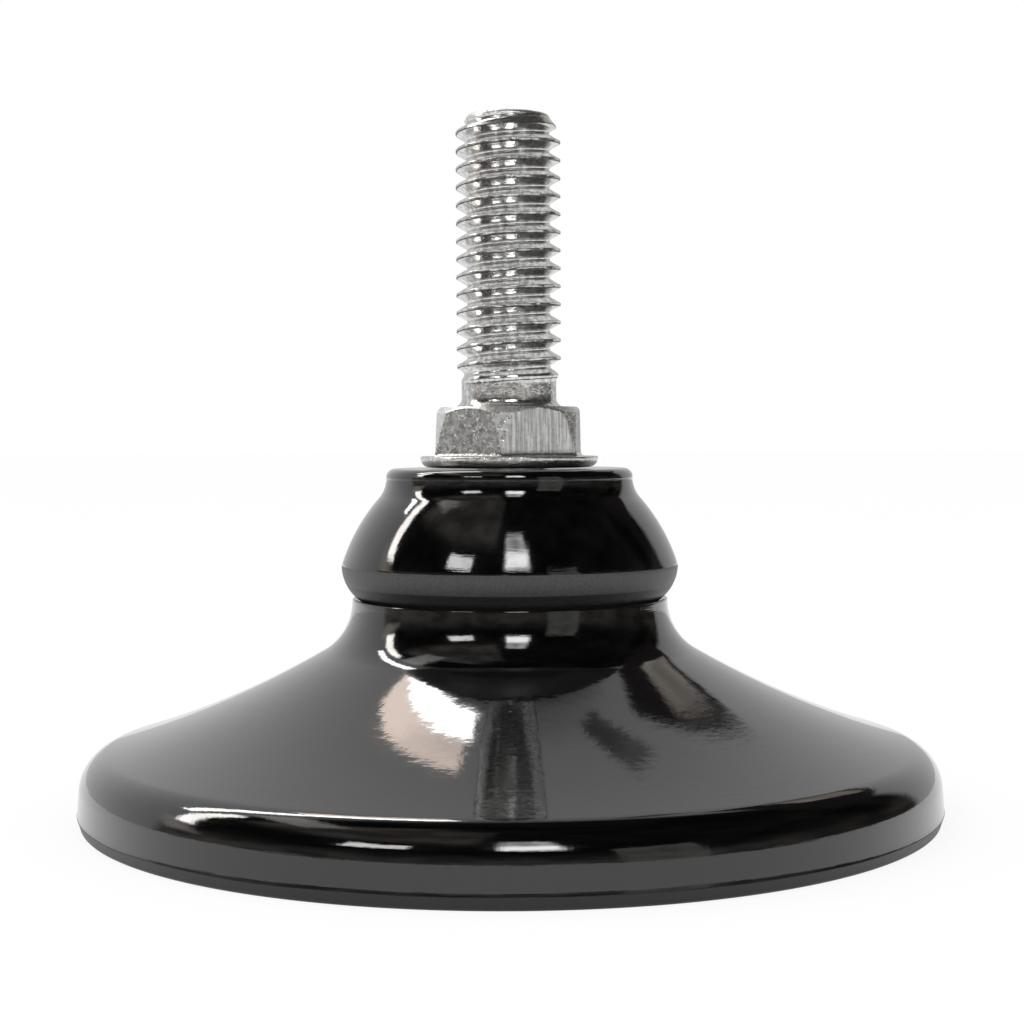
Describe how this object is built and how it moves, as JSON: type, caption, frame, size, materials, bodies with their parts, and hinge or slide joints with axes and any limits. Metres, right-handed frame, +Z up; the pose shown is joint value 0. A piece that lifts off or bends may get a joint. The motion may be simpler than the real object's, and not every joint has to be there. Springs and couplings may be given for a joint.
{
  "type": "levelling foot",
  "caption": "Swivelling levelling foot: round bell-shaped base with a rolled shoulder, a cap that leans on its neck, and an upright threaded stud with a hexagon and a flange.",
  "frame": {"origin": "on the floor, at the centre of the base's underside", "axes": "+Z up the stud, +X to the right in the picture, +Y away from the camera"},
  "size_m": [0.0762, 0.0762, 0.0619],
  "materials": {
    "moulding": "gloss black",
    "plated_steel": "bright zinc plate over a cold-formed surface"
  },
  "bodies": {
    "base": {"bell_base": "moulding"},
    "swivel": {"swivel_cap": "moulding", "dished_washer": "plated_steel"},
    "stud": {"levelling_stud": "plated_steel"}
  },
  "joints": [
    {"name": "tilt", "type": "hinge", "parent": "base", "child": "swivel", "pos_m": [0, 0, 0.035], "axis": [0, 1, 0], "range_deg": [-5, 5]},
    {"name": "spin", "type": "hinge", "parent": "swivel", "child": "stud", "pos_m": [0, 0, 0.035], "axis": [0, 0, 1], "continuous": true}
  ]
}
